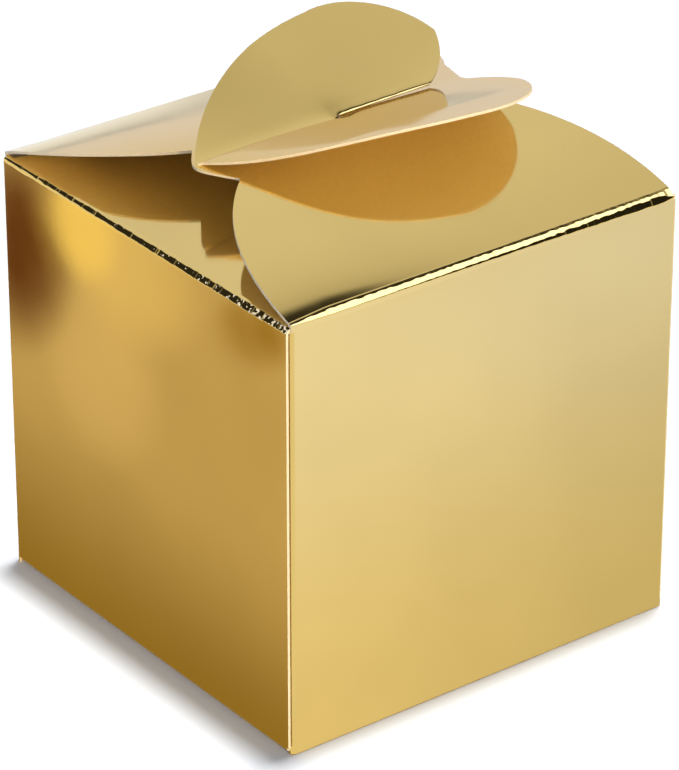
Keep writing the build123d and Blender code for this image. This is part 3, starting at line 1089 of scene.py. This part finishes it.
class FAVORBOX_OT_dust_flaps(bpy.types.Operator):
    """Make the dust flaps of the top and of the bottom"""

    bl_idname = "favor_box.dust_flaps"
    bl_label = "Dust flaps"

    def execute(self, context):
        sizes = context.scene.favor_box_sizes
        folds = box_folds(sizes)
        top_sides = (Side(sizes.dust_inset, sizes.dust_taper),) * 2
        low_sides = (
            Side(sizes.low_dust_front_inset, sizes.low_dust_front_taper),
            Side(sizes.low_dust_rear_inset, sizes.low_dust_rear_taper),
        )
        levels = (("", top_sides, sizes.dust_depth), ("bottom_", low_sides, sizes.low_dust_depth))
        for level, sides, depth in levels:
            for hand in ("left", "right"):
                name = f"{level}{hand}_dust"
                fold = folds[f"{name}_fold"]
                patch = flap_surface(fold, sizes.fold_flank, half_width, sides, depth, sizes.dust_rounding)
                piece = board_piece(context, f"{name}_flap_sheet", [patch], fold.flap_normal)
                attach(dress(piece, "gold_foil_board", f"{name}_flap"), name)
        return {"FINISHED"}


class FAVORBOX_OT_bottom(bpy.types.Operator):
    """Make the bottom panel and its tuck flap"""

    bl_idname = "favor_box.bottom"
    bl_label = "Bottom and tuck flap"

    def execute(self, context):
        sizes = context.scene.favor_box_sizes
        flank = sizes.fold_flank
        folds = box_folds(sizes)
        rear, _ = flap_edge(folds["bottom_fold"], flank)
        front = wall_edge(folds["tuck_fold"], flank)
        patch = bottom_surface(bottom_high.x, front[1], rear[1], sizes.bottom_relief)
        panel = board_piece(context, "bottom_panel_sheet", [patch], (0, 0, -1))
        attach(dress(panel, "gold_foil_board", "bottom_panel"), "bottom")
        fold = folds["tuck_fold"]
        sides = (Side(sizes.tuck_inset, sizes.tuck_taper),) * 2
        patch = flap_surface(fold, flank, half_width, sides, sizes.tuck_height, sizes.tuck_rounding)
        tuck = board_piece(context, "tuck_flap_sheet", [patch], fold.flap_normal)
        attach(dress(tuck, "gold_foil_board", "tuck_flap"), "tuck")
        return {"FINISHED"}


class FAVORBOX_OT_folds(bpy.types.Operator):
    """Make the crackled folds that the flaps turn on"""

    bl_idname = "favor_box.folds"
    bl_label = "Scored folds"

    def execute(self, context):
        sizes = context.scene.favor_box_sizes
        flank = sizes.fold_flank
        for seed, (name, fold) in enumerate(box_folds(sizes).items()):
            patch, crease = fold_surface(fold, flank, sizes.crackle, sizes.waver, seed)
            outward = np.add(fold.wall_normal, fold.flap_normal)
            piece = board_piece(context, f"{name}_strip", [patch], outward, "flaked_foil", crease)
            dress(piece, "scored_fold", name)
            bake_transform(piece)
        return {"FINISHED"}


class FAVORBOX_OT_stage(bpy.types.Operator):
    """Make the floor, the soft studio light and the camera"""

    bl_idname = "favor_box.stage"
    bl_label = "Studio"

    def execute(self, context):
        colours = context.scene.favor_box_colours
        self.make_floor(colours)
        self.make_cards()
        self.make_world(context)
        self.make_lamps(context)
        self.make_camera(context)
        context.scene.view_settings.view_transform = "Standard"
        return {"FINISHED"}

    def make_floor(self, colours):
        """A wide pale floor just under the box, clear from below."""
        material, tree, shader = new_material("studio_floor")
        uneven_colour(tree, shader, colours.floor, share=0.985, scale=6)
        link(tree, 0.9, shader.inputs["Roughness"])
        link(tree, 0.0, shader.inputs["Specular IOR Level"])
        link(tree, (1, 1, 1, 1), shader.inputs["Emission Color"])
        rays = tree.nodes.new("ShaderNodeLightPath")
        mirrored = maths(tree, "MULTIPLY", rays.outputs["Is Glossy Ray"], floor_glow)
        glow = maths(tree, "MULTIPLY_ADD", rays.outputs["Is Camera Ray"], floor_glow, mirrored)
        link(tree, glow, shader.inputs["Emission Strength"])
        side = tree.nodes.new("ShaderNodeNewGeometry")
        clear = tree.nodes.new("ShaderNodeBsdfTransparent")
        either = tree.nodes.new("ShaderNodeMixShader")
        link(tree, side.outputs["Backfacing"], either.inputs["Fac"])
        link(tree, shader.outputs["BSDF"], either.inputs[1])
        link(tree, clear.outputs["BSDF"], either.inputs[2])
        link(tree, either.outputs["Shader"], tree.nodes["Material Output"].inputs["Surface"])
        low, high = (-floor_reach, -floor_reach), (floor_reach, floor_reach)
        floor = level_sheet("studio_floor", low, high, -floor_drop, material)

    def make_cards(self):
        """Two glowing cards on the floor with painted reflections, which only the foil of the front and left
        walls mirrors.
        """
        cards = (("front_reflection_card", front_reflection_card, front_painted_reflection), ("left_reflection_card", left_reflection_card, left_painted_reflection))
        for name, corners, paint in cards:
            material, tree, shader = new_material(name)
            link(tree, (0, 0, 0, 1), shader.inputs["Base Color"])
            link(tree, 0.0, shader.inputs["Specular IOR Level"])
            link(tree, 1.0, shader.inputs["Emission Strength"])
            # The card glows with its painted reflection, painted shade and highlights, and only glossy rays
            # see it
            link(tree, paint(tree), shader.inputs["Emission Color"])
            card = level_sheet(name, *corners, card_lift, material)
            card.visible_camera = False
            card.visible_diffuse = False
            card.visible_transmission = False
            card.visible_shadow = False

    def make_world(self, context):
        """Even light for matt surfaces, pale and dark sides for the foil to mirror, and a white backdrop."""
        world = bpy.data.worlds.new("studio")
        world.use_nodes = True
        context.scene.world = world
        tree = world.node_tree
        place = tree.nodes.new("ShaderNodeTexCoord")
        rays = tree.nodes.new("ShaderNodeLightPath")
        light = studio_base
        for direction, inner, outer, colour in studio_sides:
            cosine = dot(tree, place.outputs["Generated"], unit(direction))
            share = faded(tree, cosine, cos(radians(outer)), cos(radians(inner)))
            light = mixed(tree, share, light, colour)
        seen = mixed(tree, rays.outputs["Is Glossy Ray"], even_light, light)
        seen = mixed(tree, rays.outputs["Is Camera Ray"], seen, white)
        link(tree, seen, tree.nodes["Background"].inputs["Color"])

    def make_lamps(self, context):
        """Softboxes, each a disk that looks at the box. The foil mirrors the studio's sides instead."""
        for name, (place, size, power, colour) in lamps.items():
            data = bpy.data.lights.new(name, "AREA")
            data.shape = "DISK"
            data.size = size
            data.energy = power
            data.color = colour
            lamp = bpy.data.objects.new(name, data)
            lamp.location = place
            lamp.rotation_euler = (-Vector(place)).to_track_quat("-Z", "Y").to_euler()
            lamp.visible_glossy = False
            context.scene.collection.objects.link(lamp)

    def make_camera(self, context):
        """Long lens at the photograph's angle."""
        data = bpy.data.cameras.new("camera")
        data.lens = camera_lens
        camera = bpy.data.objects.new("camera", data)
        turn, rise = radians(camera_azimuth), radians(camera_elevation)
        back = Vector((sin(turn) * cos(rise), -cos(turn) * cos(rise), sin(rise)))
        camera.location = Vector(camera_target) + camera_distance * back
        camera.rotation_euler = back.to_track_quat("Z", "Y").to_euler()
        context.scene.collection.objects.link(camera)
        context.scene.camera = camera


class FAVORBOX_PT_panel(bpy.types.Panel):
    """Lists the pieces that can be made"""

    bl_idname = "FAVORBOX_PT_panel"
    bl_label = "Favor box"
    bl_space_type = "VIEW_3D"
    bl_region_type = "UI"
    bl_category = "Favor box"

    def draw(self, context):
        for operator in operators:
            self.layout.operator(operator.bl_idname)


operators = (
    FAVORBOX_OT_walls,
    FAVORBOX_OT_corners,
    FAVORBOX_OT_lid,
    FAVORBOX_OT_dust_flaps,
    FAVORBOX_OT_bottom,
    FAVORBOX_OT_folds,
    FAVORBOX_OT_stage,
)
classes = (FavorBoxSizes, FavorBoxColours, *operators, FAVORBOX_PT_panel)


def register():
    """Adds the classes and their settings to Blender."""
    for each in classes:
        bpy.utils.register_class(each)
    bpy.types.Scene.favor_box_sizes = bpy.props.PointerProperty(type=FavorBoxSizes)
    bpy.types.Scene.favor_box_colours = bpy.props.PointerProperty(type=FavorBoxColours)


def unregister():
    """Takes the classes and their settings out of Blender."""
    del bpy.types.Scene.favor_box_colours
    del bpy.types.Scene.favor_box_sizes
    for each in reversed(classes):
        bpy.utils.unregister_class(each)


def main():
    """Makes every piece and the studio."""
    register()
    bpy.ops.favor_box.walls()
    bpy.ops.favor_box.corners()
    bpy.ops.favor_box.lid()
    bpy.ops.favor_box.dust_flaps()
    bpy.ops.favor_box.bottom()
    bpy.ops.favor_box.folds()
    bpy.ops.favor_box.stage()


if __name__ == "__main__":
    main()
